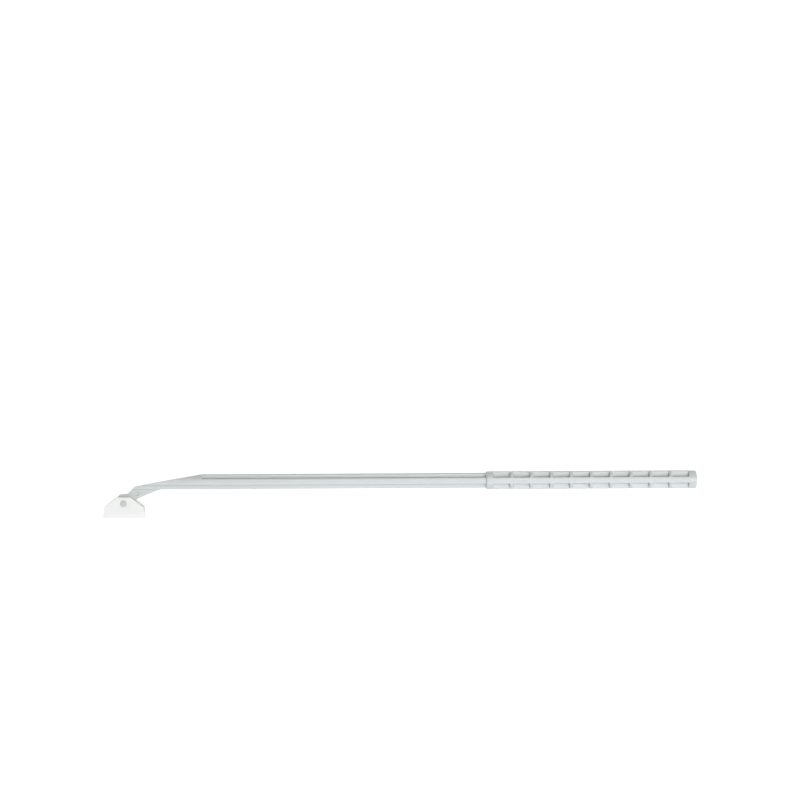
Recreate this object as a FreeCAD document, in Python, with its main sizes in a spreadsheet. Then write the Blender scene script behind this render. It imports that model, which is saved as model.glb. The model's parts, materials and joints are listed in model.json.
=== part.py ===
"""Cell scraper: a one-piece moulded handle and a soft blade that swivels on its tongue.

Frame, in millimetres: the scraper lies on its side. +X runs along the handle towards the
grip, +Y across it away from the scraping lip, +Z up. The origin is under the middle of the
whole tool, on the surface that it lies on.
Both mouldings are the same on their front (+Z) and back (-Z) halves, because their mould
parts on the plane through the handle's axis.
"""
import FreeCAD, Part
import math
import os

import Sketcher

# Every driving size, in millimetres and degrees: alias, value, what it is.
SIZES = [
    ("overall_length", 250.0, "lip corner to grip end"),
    ("shaft_diameter", 6.3, "circle round the cross-shaped shaft"),
    ("rib_thickness", 2.7, "each bar of the cross section"),
    ("root_radius", 0.35, "fillet where the bars of the cross meet"),
    ("rib_edge_radius", 0.15, "rounding of the shaft's rib edges"),
    ("grip_diameter", 7.55, "circle round the grip"),
    ("grip_length", 88.55, "first collar to grip end"),
    ("front_collar", 3.0, "solid collar where the shaft enters the grip"),
    ("end_collar", 3.3, "solid collar at the grip end"),
    ("pocket_count", 10.0, "pockets in each quarter of the grip"),
    ("pocket_pitch", 8.35, "from one pocket to the next"),
    ("ring_crown", 1.25, "width of a ring between two pockets, below its crown"),
    ("ring_foot", 1.85, "width of a ring at the core"),
    ("crown_radius", 1.2, "rounding across a ring's crown"),
    ("collar_round", 0.55, "rounding of both grip ends"),
    ("pivot_drop", 8.9, "handle axis to blade pivot"),
    ("upper_groove_start", 33.0, "pivot to the end wall of the upper grooves"),
    ("lower_groove_start", 11.1, "pivot to the foot of the lower grooves' end wall"),
    ("lower_groove_lead", 1.4, "run of the sloping end wall of the lower grooves"),
    ("bevel_start", 32.6, "pivot to where the top bevel leaves the shaft"),
    ("neck_corner_x", 4.65, "pivot to the corner under the bevel"),
    ("neck_corner_y", -1.83, "height of that corner from the axis"),
    ("tongue_thickness", 1.9, "web and tongue plate"),
    ("tongue_top", 3.87, "pivot to the flat top of the tongue"),
    ("tongue_top_end", 1.3, "pivot to where the tongue meets the neck"),
    ("tongue_side", 2.6, "pivot to the tongue's flat side, and its round end"),
    ("tongue_chamfer_x", 0.65, "corner cut from the tongue, across"),
    ("tongue_chamfer_y", 1.02, "corner cut from the tongue, down"),
    ("gusset_foot_x", 15.15, "pivot to where the gusset leaves the shaft"),
    ("gusset_rise", 0.4, "slope of the gusset's lower edge"),
    ("gusset_edge_round", 0.5, "rounding of the gusset's lower edge"),
    ("boss_diameter", 2.7, "round boss on each face of the tongue"),
    ("boss_span", 5.8, "boss end to boss end"),
    ("boss_chamfer", 0.2, "lead-in at each boss end"),
    ("dimple_diameter", 0.9, "centre mark in each boss"),
    ("dimple_depth", 0.15, "depth of that mark"),
    ("ejector_diameter", 1.7, "round ejector mark on the web"),
    ("ejector_depth", 0.1, "depth of that mark"),
    ("ejector_x", 5.45, "pivot to ejector mark, along"),
    ("ejector_y", 4.05, "pivot to ejector mark, up"),
    ("blade_thickness", 6.0, "forked hub, front to back"),
    ("hub_top", 2.7, "pivot to the top of the hub"),
    ("hub_top_width", 5.8, "flat top of the hub"),
    ("shoulder_width", 16.35, "hub at its shoulders"),
    ("shoulder_drop", 1.3, "pivot to the shoulders"),
    ("skirt_width", 17.4, "bottom of the wedge"),
    ("lip_root", 4.6, "pivot to where the wedge turns into the lip"),
    ("lip_length", 18.3, "scraping lip, along its edge"),
    ("lip_drop", 6.37, "pivot to the scraping edge"),
    ("lip_root_thickness", 0.9, "lip at its root"),
    ("lip_edge_thickness", 0.55, "lip at its edge"),
    ("slot_width", 2.1, "slot between the fork's walls"),
    ("slot_floor", 2.8, "pivot to the slot's floor"),
    ("pivot_hole_diameter", 2.8, "hole in each wall of the fork"),
    ("shoulder_round", 0.9, "rounding of the shoulders"),
    ("hub_round", 0.5, "rounding of the hub's top corners"),
    ("hub_edge_round", 0.25, "rounding of the hub's outer rims"),
]
FAR = 12.0  # reach of a cut past anything on this small part
BIG_ENOUGH = 1e-3  # least change of volume, mm3, that counts as a cut
APART = 0.1  # margin, mm, that keeps a choice of edges off their neighbours


def make_sheet(doc):
    """Puts every size in the spreadsheet, as a plain number with an alias."""
    sheet = doc.addObject("Spreadsheet::Sheet", "Sizes")
    for row, (alias, value, meaning) in enumerate(SIZES, start=1):
        sheet.set(f"A{row}", meaning)
        sheet.set(f"B{row}", str(value))
        sheet.setAlias(f"B{row}", alias)
    doc.recompute()
    return sheet


def origin_item(body, role):
    """The body's own origin plane or axis that plays this role."""
    for item in body.Origin.OriginFeatures:
        if item.Role == role:
            return item
    raise ValueError(f"{body.Label} has no {role}")


def new_sketch(body, name, plane, lift=None):
    """An empty sketch on one of the body's origin planes, lifted along its normal."""
    sketch = body.newObject("Sketcher::SketchObject", name)
    sketch.AttachmentSupport = [(origin_item(body, plane), "")]
    sketch.MapMode = "FlatFace"
    if lift:
        sketch.setExpression("AttachmentOffset.Base.z", lift)
    return sketch


def bind(sketch, kind, name, geometry, point, expression, first=1.0):
    """Ties a point's distance from the sketch's origin to an expression."""
    index = sketch.addConstraint(Sketcher.Constraint(kind, -1, 1, geometry, point, first))
    sketch.renameConstraint(index, name)
    sketch.setExpression(f"Constraints.{name}", expression)


def draw_outline(sketch, corners):
    """Closes straight lines through the corners, each an (x, y) pair of expressions."""
    count = len(corners)
    for i in range(count):
        start = FreeCAD.Vector(i, i * i, 0)
        end = FreeCAD.Vector(i + 1, (i + 1) * (i + 1), 0)
        sketch.addGeometry(Part.LineSegment(start, end), False)
    for i in range(count):
        following = (i + 1) % count
        sketch.addConstraint(Sketcher.Constraint("Coincident", i, 2, following, 1))
    for i, (across, up) in enumerate(corners):
        bind(sketch, "DistanceX", f"x{i}", i, 1, across)
        bind(sketch, "DistanceY", f"y{i}", i, 1, up)


def draw_circle(sketch, across, up, diameter):
    """One circle whose centre and diameter are expressions."""
    circle = Part.Circle(FreeCAD.Vector(1, 1, 0), FreeCAD.Vector(0, 0, 1), 1)
    sketch.addGeometry(circle, False)
    bind(sketch, "DistanceX", "centre_x", 0, 3, across)
    bind(sketch, "DistanceY", "centre_y", 0, 3, up)
    index = sketch.addConstraint(Sketcher.Constraint("Diameter", 0, 2.0))
    sketch.renameConstraint(index, "diameter")
    sketch.setExpression("Constraints.diameter", diameter)


def pad(body, sketch, name, length):
    """Extrudes a sketch by the same amount to both sides of its plane."""
    feature = body.newObject("PartDesign::Pad", name)
    feature.Profile = sketch
    feature.Midplane = True
    feature.setExpression("Length", length)
    body.Document.recompute()
    return feature


def pocket(body, sketch, name, length=None, reverse=False, both_sides=False):
    """Cuts a sketch's outline away and makes sure that something was cut."""
    before = body.Shape.Volume
    feature = body.newObject("PartDesign::Pocket", name)
    feature.Profile = sketch
    feature.Reversed = reverse
    feature.Midplane = both_sides
    if length:
        feature.setExpression("Length", length)
    else:
        feature.Length = 2 * FAR
    body.Document.recompute()
    if not before - body.Shape.Volume > BIG_ENOUGH:
        raise RuntimeError(f"{name} cuts nothing")
    return feature


def mirror(body, feature, name, plane):
    """Repeats a feature on the other side of one of the body's origin planes."""
    copy = body.newObject("PartDesign::Mirrored", name)
    copy.Originals = [feature]
    copy.MirrorPlane = (origin_item(body, plane), [""])
    body.Tip = copy
    body.Document.recompute()
    return copy


def must_be_sound(feature):
    """Stops at a feature that failed or left something that isn't one valid solid."""
    shape = feature.Shape
    failed = "Invalid" in feature.State or "Error" in feature.State
    if failed or shape.isNull() or not shape.isValid() or len(shape.Solids) != 1:
        raise RuntimeError(f"{feature.Name} failed: {feature.State}")


def edges_where(shape, test):
    """Names of the edges whose middle point and length pass a test."""
    found = []
    for number, edge in enumerate(shape.Edges, start=1):
        middle = edge.valueAt((edge.FirstParameter + edge.LastParameter) / 2)
        if test(edge, middle):
            found.append(f"Edge{number}")
    return found


def dress(body, kind, name, test, size_property, expression):
    """Adds a fillet or a chamfer to the tip's edges that pass a test."""
    base = body.Tip
    names = edges_where(base.Shape, test)
    if not names:
        raise RuntimeError(f"{name} finds no edge")
    feature = body.newObject(kind, name)
    feature.Base = (base, names)
    feature.setExpression(size_property, expression)
    body.Document.recompute()
    must_be_sound(feature)
    return feature


def fillet(body, name, test, radius):
    """Rounds the edges that pass a test."""
    return dress(body, "PartDesign::Fillet", name, test, "Radius", radius)


def chamfer(body, name, test, size):
    """Bevels the edges that pass a test."""
    return dress(body, "PartDesign::Chamfer", name, test, "Size", size)


def near(value, target, within=0.02):
    """Whether two sizes agree."""
    return abs(value - target) < within


# ---------------------------------------------------------------- handle
# The handle's own frame: X along its axis from above the pivot, Y up to the bevelled side.

HANDLE_END = "(Sizes.overall_length - Sizes.lip_length / 2)"
GRIP_START = f"({HANDLE_END} - Sizes.grip_length)"
SHAFT_RADIUS = "(Sizes.shaft_diameter / 2)"
GRIP_RADIUS = "(Sizes.grip_diameter / 2)"
RIB_HALF = "(Sizes.rib_thickness / 2)"
TONGUE_TOP_Y = "(Sizes.tongue_top - Sizes.pivot_drop)"


def turn_blank(body):
    """The round shaft with its thicker grip, turned about the handle's axis."""
    sketch = new_sketch(body, "blank_profile", "XY_Plane")
    draw_outline(sketch, [
        ("Sizes.tongue_top_end", "0"),
        ("Sizes.tongue_top_end", SHAFT_RADIUS),
        (GRIP_START, SHAFT_RADIUS),
        (GRIP_START, GRIP_RADIUS),
        (HANDLE_END, GRIP_RADIUS),
        (HANDLE_END, "0"),
    ])
    feature = body.newObject("PartDesign::Revolution", "blank")
    feature.Profile = sketch
    feature.ReferenceAxis = (origin_item(body, "X_Axis"), [""])
    feature.Angle = 360.0
    body.Document.recompute()


def cut_neck(body):
    """The long bevel over the neck and the steep cut down to the tongue."""
    sketch = new_sketch(body, "neck_cut_outline", "XY_Plane")
    draw_outline(sketch, [
        ("Sizes.bevel_start", SHAFT_RADIUS),
        ("Sizes.neck_corner_x", "Sizes.neck_corner_y"),
        ("Sizes.tongue_top_end", TONGUE_TOP_Y),
        (f"-{FAR}", TONGUE_TOP_Y),
        (f"-{FAR}", f"{FAR}"),
        ("Sizes.bevel_start", f"{FAR}"),
    ])
    pocket(body, sketch, "neck_cut", both_sides=True)


def add_tongue(body):
    """The flat web under the neck, and the tongue with its round end and flat side."""
    sketch = new_sketch(body, "web_outline", "XY_Plane")
    inside_shaft_x = "(Sizes.gusset_foot_x + Sizes.rib_thickness / 2)"
    inside_shaft_y = f"(Sizes.gusset_rise * Sizes.rib_thickness / 2 - {SHAFT_RADIUS})"
    foot_at_pivot = f"(-{SHAFT_RADIUS} - Sizes.gusset_rise * Sizes.gusset_foot_x)"
    draw_outline(sketch, [
        (inside_shaft_x, inside_shaft_y),
        ("0", foot_at_pivot),
        ("-Sizes.tongue_side", "-Sizes.pivot_drop"),
        ("-Sizes.tongue_side", f"{TONGUE_TOP_Y} - Sizes.tongue_chamfer_y"),
        ("-Sizes.tongue_side + Sizes.tongue_chamfer_x", TONGUE_TOP_Y),
        ("Sizes.tongue_top_end", TONGUE_TOP_Y),
        ("Sizes.neck_corner_x", "Sizes.neck_corner_y"),
    ])
    pad(body, sketch, "web", "Sizes.tongue_thickness")
    round_end = new_sketch(body, "round_end_outline", "XY_Plane")
    draw_circle(round_end, "0", "-Sizes.pivot_drop", "2 * Sizes.tongue_side")
    pad(body, round_end, "round_end", "Sizes.tongue_thickness")


def cut_shaft_grooves(body):
    """The four long grooves that leave the shaft a cross."""
    upper = new_sketch(body, "upper_groove_outline", "XZ_Plane", f"-{RIB_HALF}")
    draw_outline(upper, [
        ("Sizes.upper_groove_start", RIB_HALF),
        (GRIP_START, RIB_HALF),
        (GRIP_START, f"{FAR}"),
        ("Sizes.upper_groove_start", f"{FAR}"),
    ])
    groove = pocket(body, upper, "upper_groove")
    mirror(body, groove, "upper_grooves", "XY_Plane")
    lower = new_sketch(body, "lower_groove_outline", "XZ_Plane", RIB_HALF)
    slope = f"Sizes.lower_groove_lead / ({SHAFT_RADIUS} - {RIB_HALF})"
    draw_outline(lower, [
        ("Sizes.lower_groove_start", RIB_HALF),
        (GRIP_START, RIB_HALF),
        (GRIP_START, f"{FAR}"),
        (f"Sizes.lower_groove_start - ({FAR} - {RIB_HALF}) * {slope}", f"{FAR}"),
    ])
    groove = pocket(body, lower, "lower_groove", reverse=True)
    mirror(body, groove, "lower_grooves", "XY_Plane")


def cut_grip_grooves(body):
    """The same four grooves between the grip's collars, with drafted ends."""
    sketch = new_sketch(body, "grip_groove_outline", "XZ_Plane", f"-{RIB_HALF}")
    half_draft = "(Sizes.ring_foot - Sizes.ring_crown) / 2"
    first = f"({GRIP_START} + Sizes.front_collar + {half_draft})"
    last = f"({HANDLE_END} - Sizes.end_collar - {half_draft})"
    spread = f"({FAR} - {RIB_HALF}) * {half_draft} / ({GRIP_RADIUS} - {RIB_HALF})"
    draw_outline(sketch, [
        (first, RIB_HALF),
        (last, RIB_HALF),
        (f"{last} + {spread}", f"{FAR}"),
        (f"{first} - {spread}", f"{FAR}"),
    ])
    groove = pocket(body, sketch, "grip_groove")
    every = body.newObject("PartDesign::MultiTransform", "grip_grooves")
    every.Originals = [groove]
    below = body.newObject("PartDesign::Mirrored", "grip_groove_below")
    below.MirrorPlane = (origin_item(body, "XZ_Plane"), [""])
    behind = body.newObject("PartDesign::Mirrored", "grip_grooves_behind")
    behind.MirrorPlane = (origin_item(body, "XY_Plane"), [""])
    every.Transformations = [below, behind]
    body.Tip = every
    body.Document.recompute()


def round_cross(body, size):
    """Fillets the roots of the cross along shaft and grip, and eases the shaft's rib edges."""
    rib_half = size["rib_thickness"] / 2
    shaft_radius = size["shaft_diameter"] / 2
    long_edge = size["overall_length"] / 5

    def is_root(edge, middle):
        """A long inside corner of the cross."""
        on_root = near(abs(middle.y), rib_half) and near(abs(middle.z), rib_half)
        return on_root and edge.Length > long_edge

    def is_rib_edge(edge, middle):
        """A long outer corner of one of the shaft's ribs."""
        across = (middle.y**2 + middle.z**2) ** 0.5
        on_side = near(abs(middle.y), rib_half) or near(abs(middle.z), rib_half)
        return on_side and near(across, shaft_radius) and edge.Length > long_edge

    fillet(body, "cross_roots", is_root, "Sizes.root_radius")
    fillet(body, "rib_edges", is_rib_edge, "Sizes.rib_edge_radius")


def draw_ring(sketch, size):
    """One ring's half section: drafted flanks under a crown that is a single arc."""
    middle = (
        size["overall_length"] - size["lip_length"] / 2 - size["grip_length"]
        + size["front_collar"] + size["pocket_pitch"] - size["ring_crown"] / 2
    )
    middle_now = (
        f"({GRIP_START} + Sizes.front_collar + Sizes.pocket_pitch - Sizes.ring_crown / 2)"
    )
    foot_level = size["rib_thickness"] / 2
    foot = size["ring_foot"] / 2
    crown = size["ring_crown"] / 2
    radius = size["crown_radius"]
    centre = size["grip_diameter"] / 2 - radius
    turn = math.asin(crown / radius)
    shoulder = centre + radius * math.cos(turn)
    upright = math.pi / 2
    axis = FreeCAD.Vector(0, 0, 1)
    corner = [
        FreeCAD.Vector(middle - foot, foot_level, 0),
        FreeCAD.Vector(middle - crown, shoulder, 0),
        FreeCAD.Vector(middle + crown, shoulder, 0),
        FreeCAD.Vector(middle + foot, foot_level, 0),
    ]
    circle = Part.Circle(FreeCAD.Vector(middle, centre, 0), axis, radius)
    left, arc, right, base = 0, 1, 2, 3
    start, end, centre_point = 1, 2, 3
    sketch.addGeometry(Part.LineSegment(corner[0], corner[1]), False)
    sketch.addGeometry(Part.ArcOfCircle(circle, upright - turn, upright + turn), False)
    sketch.addGeometry(Part.LineSegment(corner[2], corner[3]), False)
    sketch.addGeometry(Part.LineSegment(corner[3], corner[0]), False)
    sketch.addConstraint(Sketcher.Constraint("Coincident", left, end, arc, end))
    sketch.addConstraint(Sketcher.Constraint("Coincident", arc, start, right, start))
    sketch.addConstraint(Sketcher.Constraint("Coincident", right, end, base, start))
    sketch.addConstraint(Sketcher.Constraint("Coincident", base, end, left, start))
    bind(sketch, "DistanceX", "foot_left", left, start,
         f"{middle_now} - Sizes.ring_foot / 2", middle - foot)
    bind(sketch, "DistanceX", "foot_right", right, end,
         f"{middle_now} + Sizes.ring_foot / 2", middle + foot)
    bind(sketch, "DistanceY", "foot_level_left", left, start, RIB_HALF, foot_level)
    bind(sketch, "DistanceY", "foot_level_right", right, end, RIB_HALF, foot_level)
    bind(sketch, "DistanceX", "crown_left", left, end,
         f"{middle_now} - Sizes.ring_crown / 2", middle - crown)
    bind(sketch, "DistanceX", "crown_right", right, start,
         f"{middle_now} + Sizes.ring_crown / 2", middle + crown)
    bind(sketch, "DistanceX", "crown_middle", arc, centre_point, middle_now, middle)
    bind(sketch, "DistanceY", "crown_centre", arc, centre_point,
         f"{GRIP_RADIUS} - Sizes.crown_radius", centre)
    bend = sketch.addConstraint(Sketcher.Constraint("Radius", arc, radius))
    sketch.renameConstraint(bend, "crown_bend")
    sketch.setExpression("Constraints.crown_bend", "Sizes.crown_radius")


def add_rings(body, size):
    """The rings between the grip's pockets, turned once and repeated along the grip."""
    sketch = new_sketch(body, "ring_profile", "XY_Plane")
    draw_ring(sketch, size)
    ring = body.newObject("PartDesign::Revolution", "ring")
    ring.Profile = sketch
    ring.ReferenceAxis = (origin_item(body, "X_Axis"), [""])
    ring.Angle = 360.0
    body.Document.recompute()
    row = body.newObject("PartDesign::LinearPattern", "rings")
    row.Originals = [ring]
    row.Direction = (origin_item(body, "X_Axis"), [""])
    row.setExpression("Length", "(Sizes.pocket_count - 2) * Sizes.pocket_pitch")
    row.setExpression("Occurrences", "Sizes.pocket_count - 1")
    body.Tip = row
    body.Document.recompute()
    must_be_sound(row)


def round_grip_ends(body, size):
    """Rounds the outer rim at both ends of the grip."""
    grip_radius = size["grip_diameter"] / 2
    handle_end = size["overall_length"] - size["lip_length"] / 2
    grip_start = handle_end - size["grip_length"]

    def is_grip_rim(edge, middle):
        """The outer circle at either end of the grip."""
        across = (middle.y**2 + middle.z**2) ** 0.5
        at_end = near(middle.x, grip_start) or near(middle.x, handle_end)
        return at_end and near(across, grip_radius)

    fillet(body, "grip_rims", is_grip_rim, "Sizes.collar_round")


def round_gusset(body, size):
    """Rounds the gusset's lower edge on both faces of the web."""
    half_web = size["tongue_thickness"] / 2
    shaft_radius = size["shaft_diameter"] / 2

    def is_gusset_edge(edge, middle):
        """The long lower rim of the web, on either face."""
        on_face = near(abs(middle.z), half_web)
        below_shaft = -size["pivot_drop"] < middle.y < -shaft_radius
        past_tongue = size["tongue_side"] < middle.x < size["gusset_foot_x"]
        return on_face and below_shaft and past_tongue and is_sloping(edge)

    def is_sloping(edge):
        """Whether a straight edge climbs at the gusset's slope."""
        if edge.Curve.TypeId != "Part::GeomLine":
            return False
        direction = edge.Curve.Direction
        return near(abs(direction.y / direction.x), size["gusset_rise"]) if direction.x else False

    fillet(body, "gusset_edges", is_gusset_edge, "Sizes.gusset_edge_round")


def add_bosses(body, size):
    """The round boss on both faces of the tongue, with its lead-in and centre mark."""
    sketch = new_sketch(body, "boss_outline", "XY_Plane")
    draw_circle(sketch, "0", "-Sizes.pivot_drop", "Sizes.boss_diameter")
    pad(body, sketch, "bosses", "Sizes.boss_span")

    def is_boss_rim(edge, middle):
        """The outer circle of either boss end."""
        return near(abs(middle.z), size["boss_span"] / 2)

    chamfer(body, "boss_lead_in", is_boss_rim, "Sizes.boss_chamfer")
    mark = new_sketch(body, "dimple_outline", "XY_Plane", "Sizes.boss_span / 2")
    draw_circle(mark, "0", "-Sizes.pivot_drop", "Sizes.dimple_diameter")
    dimple = pocket(body, mark, "dimple", "Sizes.dimple_depth")
    mirror(body, dimple, "dimples", "XY_Plane")


def mark_ejector(body):
    """The shallow round mark that the mould's ejector pin leaves on the web."""
    sketch = new_sketch(body, "ejector_outline", "XY_Plane", "Sizes.tongue_thickness / 2")
    draw_circle(
        sketch, "Sizes.ejector_x", "Sizes.ejector_y - Sizes.pivot_drop", "Sizes.ejector_diameter"
    )
    pocket(body, sketch, "ejector_mark", "Sizes.ejector_depth")


def build_handle(doc, size):
    """The whole handle moulding."""
    body = doc.addObject("PartDesign::Body", "Handle")
    body.Label = "handle"
    turn_blank(body)
    cut_neck(body)
    add_tongue(body)
    cut_shaft_grooves(body)
    cut_grip_grooves(body)
    round_cross(body, size)
    add_rings(body, size)
    round_grip_ends(body, size)
    round_gusset(body, size)
    add_bosses(body, size)
    mark_ejector(body)
    return body


# ---------------------------------------------------------------- blade
# The blade's own frame: the pivot at the origin, Y up to the hub's flat top.

SLOPE_X = "((Sizes.shoulder_width - Sizes.hub_top_width) / 2)"
SLOPE_Y = "(Sizes.hub_top + Sizes.shoulder_drop)"


def pad_section(body):
    """The blade's section along its whole length: fork, wedge and thin lip."""
    sketch = new_sketch(body, "section", "YZ_Plane")
    half = "Sizes.blade_thickness / 2"
    root_half = "Sizes.lip_root_thickness / 2"
    edge_half = "Sizes.lip_edge_thickness / 2"
    draw_outline(sketch, [
        ("Sizes.hub_top", half),
        ("-Sizes.shoulder_drop", half),
        ("-Sizes.lip_root", root_half),
        ("-Sizes.lip_drop", edge_half),
        ("-Sizes.lip_drop", f"-{edge_half}"),
        ("-Sizes.lip_root", f"-{root_half}"),
        ("-Sizes.shoulder_drop", f"-{half}"),
        ("Sizes.hub_top", f"-{half}"),
    ])
    pad(body, sketch, "blade_section", "Sizes.lip_length")


def cut_shoulders(body):
    """The slopes down from the hub's flat top, the shoulders and the skirt's sides."""
    sketch = new_sketch(body, "shoulder_cut_outline", "XY_Plane")
    draw_outline(sketch, [
        ("Sizes.hub_top_width / 2", "Sizes.hub_top"),
        ("Sizes.shoulder_width / 2", "-Sizes.shoulder_drop"),
        ("Sizes.skirt_width / 2", "-Sizes.lip_root"),
        (f"{FAR}", "-Sizes.lip_root"),
        (f"{FAR}", f"{FAR}"),
        ("Sizes.hub_top_width / 2", f"{FAR}"),
    ])
    one = pocket(body, sketch, "shoulder_cut", both_sides=True)
    mirror(body, one, "shoulder_cuts", "YZ_Plane")


def cut_slot(body):
    """The slot between the fork's two walls, open at the top and at both sides."""
    sketch = new_sketch(body, "slot_outline", "YZ_Plane")
    half = "Sizes.slot_width / 2"
    draw_outline(sketch, [
        ("-Sizes.slot_floor", half),
        (f"{FAR}", half),
        (f"{FAR}", f"-{half}"),
        ("-Sizes.slot_floor", f"-{half}"),
    ])
    pocket(body, sketch, "slot", both_sides=True)


def bore_pivot(body):
    """The round hole through both walls, where the bosses snap in."""
    sketch = new_sketch(body, "pivot_hole_outline", "XY_Plane")
    draw_circle(sketch, "0", "0", "Sizes.pivot_hole_diameter")
    pocket(body, sketch, "pivot_hole", both_sides=True)


def round_blade(body, size):
    """The soft moulding's rounded shoulders, top corners and outer rims."""
    wall_middle = (size["blade_thickness"] + size["slot_width"]) / 4

    def is_shoulder(edge, middle):
        """The corner line of a fork wall at a shoulder."""
        at_shoulder = near(abs(middle.x), size["shoulder_width"] / 2)
        return at_shoulder and near(abs(middle.z), wall_middle)

    def is_top_corner(edge, middle):
        """The corner line of a fork wall beside the flat top."""
        at_corner = near(abs(middle.x), size["hub_top_width"] / 2)
        return at_corner and near(abs(middle.z), wall_middle)

    def is_hub_rim(edge, middle):
        """The rim of the hub's front or back face, above the wedge and outside the hole."""
        on_face = near(abs(middle.z), size["blade_thickness"] / 2)
        above_wedge = middle.y > -size["shoulder_drop"] + APART
        from_pivot = (middle.x**2 + middle.y**2) ** 0.5
        outside_hole = from_pivot > size["pivot_hole_diameter"] / 2 + APART
        return on_face and above_wedge and outside_hole

    fillet(body, "shoulder_rounds", is_shoulder, "Sizes.shoulder_round")
    fillet(body, "top_corner_rounds", is_top_corner, "Sizes.hub_round")
    fillet(body, "hub_rims", is_hub_rim, "Sizes.hub_edge_round")


def build_blade(doc, size):
    """The whole blade moulding."""
    body = doc.addObject("PartDesign::Body", "Blade")
    body.Label = "blade"
    pad_section(body)
    cut_shoulders(body)
    cut_slot(body)
    bore_pivot(body)
    round_blade(body, size)
    return body


# ---------------------------------------------------------------- whole tool


def place(body, along, across, up):
    """Binds where a body's own origin stands in the tool's frame."""
    body.setExpression("Placement.Base.x", along)
    body.setExpression("Placement.Base.y", across)
    body.setExpression("Placement.Base.z", up)


def check(doc, bodies):
    """Stops if any object failed, or if a body isn't one valid solid."""
    for item in doc.Objects:
        if "Invalid" in item.State or "Error" in item.State:
            raise RuntimeError(f"{item.Name} failed: {item.State}")
    for body in bodies:
        shape = body.Shape
        if shape.isNull() or not shape.isValid() or len(shape.Solids) != 1:
            raise RuntimeError(f"{body.Label} isn't one valid solid")


def main():
    """Builds the scraper and writes one STEP file for each moulding."""
    doc = FreeCAD.newDocument("CellScraper")
    make_sheet(doc)
    size = {alias: value for alias, value, meaning in SIZES}
    handle = build_handle(doc, size)
    blade = build_blade(doc, size)
    pivot_x = "Sizes.lip_length / 2 - Sizes.overall_length / 2"
    axis_y = f"(Sizes.pivot_drop + Sizes.lip_drop - {GRIP_RADIUS}) / 2"
    place(handle, pivot_x, axis_y, GRIP_RADIUS)
    place(blade, pivot_x, f"{axis_y} - Sizes.pivot_drop", GRIP_RADIUS)
    doc.recompute()
    bodies = [handle, blade]
    check(doc, bodies)
    os.makedirs("parts", exist_ok=True)
    for body in bodies:
        box = body.Shape.BoundBox
        print(f"{body.Label}: {body.Shape.Volume:.1f} mm3, x {box.XMin:.3f}..{box.XMax:.3f},"
              f" y {box.YMin:.3f}..{box.YMax:.3f}, z {box.ZMin:.3f}..{box.ZMax:.3f}")
        body.Shape.exportStep(f"parts/{body.Label}.step")


main()
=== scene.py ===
"""Cell scraper: the finished look of the moulded handle and its swivelling blade.

Every size is in millimetres until a surface becomes a mesh, which is in metres. Surfaces are
worked out round the swivel's axis and the handle's axis, whose places come from the frame.
"""

import json
import logging
import math
from dataclasses import dataclass, field
from enum import Enum
from typing import Any, Sequence

import bpy
import numpy as np
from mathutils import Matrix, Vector

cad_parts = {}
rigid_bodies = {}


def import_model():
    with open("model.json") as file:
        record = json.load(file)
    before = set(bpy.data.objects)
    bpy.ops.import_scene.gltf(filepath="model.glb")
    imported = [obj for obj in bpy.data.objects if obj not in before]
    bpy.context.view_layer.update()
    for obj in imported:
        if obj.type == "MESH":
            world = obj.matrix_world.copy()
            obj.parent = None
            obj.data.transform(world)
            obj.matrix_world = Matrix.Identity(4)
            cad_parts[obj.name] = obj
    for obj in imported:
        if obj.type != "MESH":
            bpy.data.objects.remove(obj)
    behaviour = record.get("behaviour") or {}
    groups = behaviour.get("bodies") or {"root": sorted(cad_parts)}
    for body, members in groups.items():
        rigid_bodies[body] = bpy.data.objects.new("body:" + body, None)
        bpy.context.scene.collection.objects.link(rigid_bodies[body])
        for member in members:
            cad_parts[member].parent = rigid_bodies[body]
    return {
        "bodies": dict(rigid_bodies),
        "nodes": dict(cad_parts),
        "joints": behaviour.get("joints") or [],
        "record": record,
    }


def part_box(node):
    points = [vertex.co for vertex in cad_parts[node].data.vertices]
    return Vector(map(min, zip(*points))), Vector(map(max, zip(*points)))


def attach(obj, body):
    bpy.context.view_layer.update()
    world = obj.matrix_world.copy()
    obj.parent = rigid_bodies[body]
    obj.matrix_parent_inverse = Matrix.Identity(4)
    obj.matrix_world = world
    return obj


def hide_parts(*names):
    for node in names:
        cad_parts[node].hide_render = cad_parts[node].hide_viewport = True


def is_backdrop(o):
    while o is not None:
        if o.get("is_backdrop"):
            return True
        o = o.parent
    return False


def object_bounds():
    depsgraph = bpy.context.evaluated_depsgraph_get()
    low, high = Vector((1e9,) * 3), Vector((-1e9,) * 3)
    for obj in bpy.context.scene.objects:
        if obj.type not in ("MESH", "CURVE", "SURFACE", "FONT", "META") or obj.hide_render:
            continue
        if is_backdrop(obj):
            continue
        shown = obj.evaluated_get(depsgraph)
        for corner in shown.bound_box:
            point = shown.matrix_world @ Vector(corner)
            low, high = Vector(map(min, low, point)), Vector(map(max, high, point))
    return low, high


MM = 0.001  # metres in a millimetre
QUARTER = math.pi / 2
FULL_TURN = 4 * QUARTER
CRISP = math.radians(34)  # edges that turn by more than this stay sharp
ROUNDED = math.radians(100)  # edges that turn by up to this look rounded off
TINY = 1e-9  # stands in for nothing where a length or a reach can't be 0
WELD_DIGITS = 5  # decimals of a millimetre that two points share to be one
LOG = logging.getLogger("cell_scraper")


# ---------------------------------------------------------------- surfaces


def spread(first: float, last: float, count: int) -> np.ndarray:
    """Evenly spaced values from first up to, and without, last."""
    return np.linspace(first, last, count, endpoint=False)


def placed(x: np.ndarray, y: np.ndarray, z: np.ndarray | float) -> np.ndarray:
    """Points from their three coordinates, which are brought to one shape."""
    return np.stack(np.broadcast_arrays(x, y, z), axis=-1)


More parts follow.
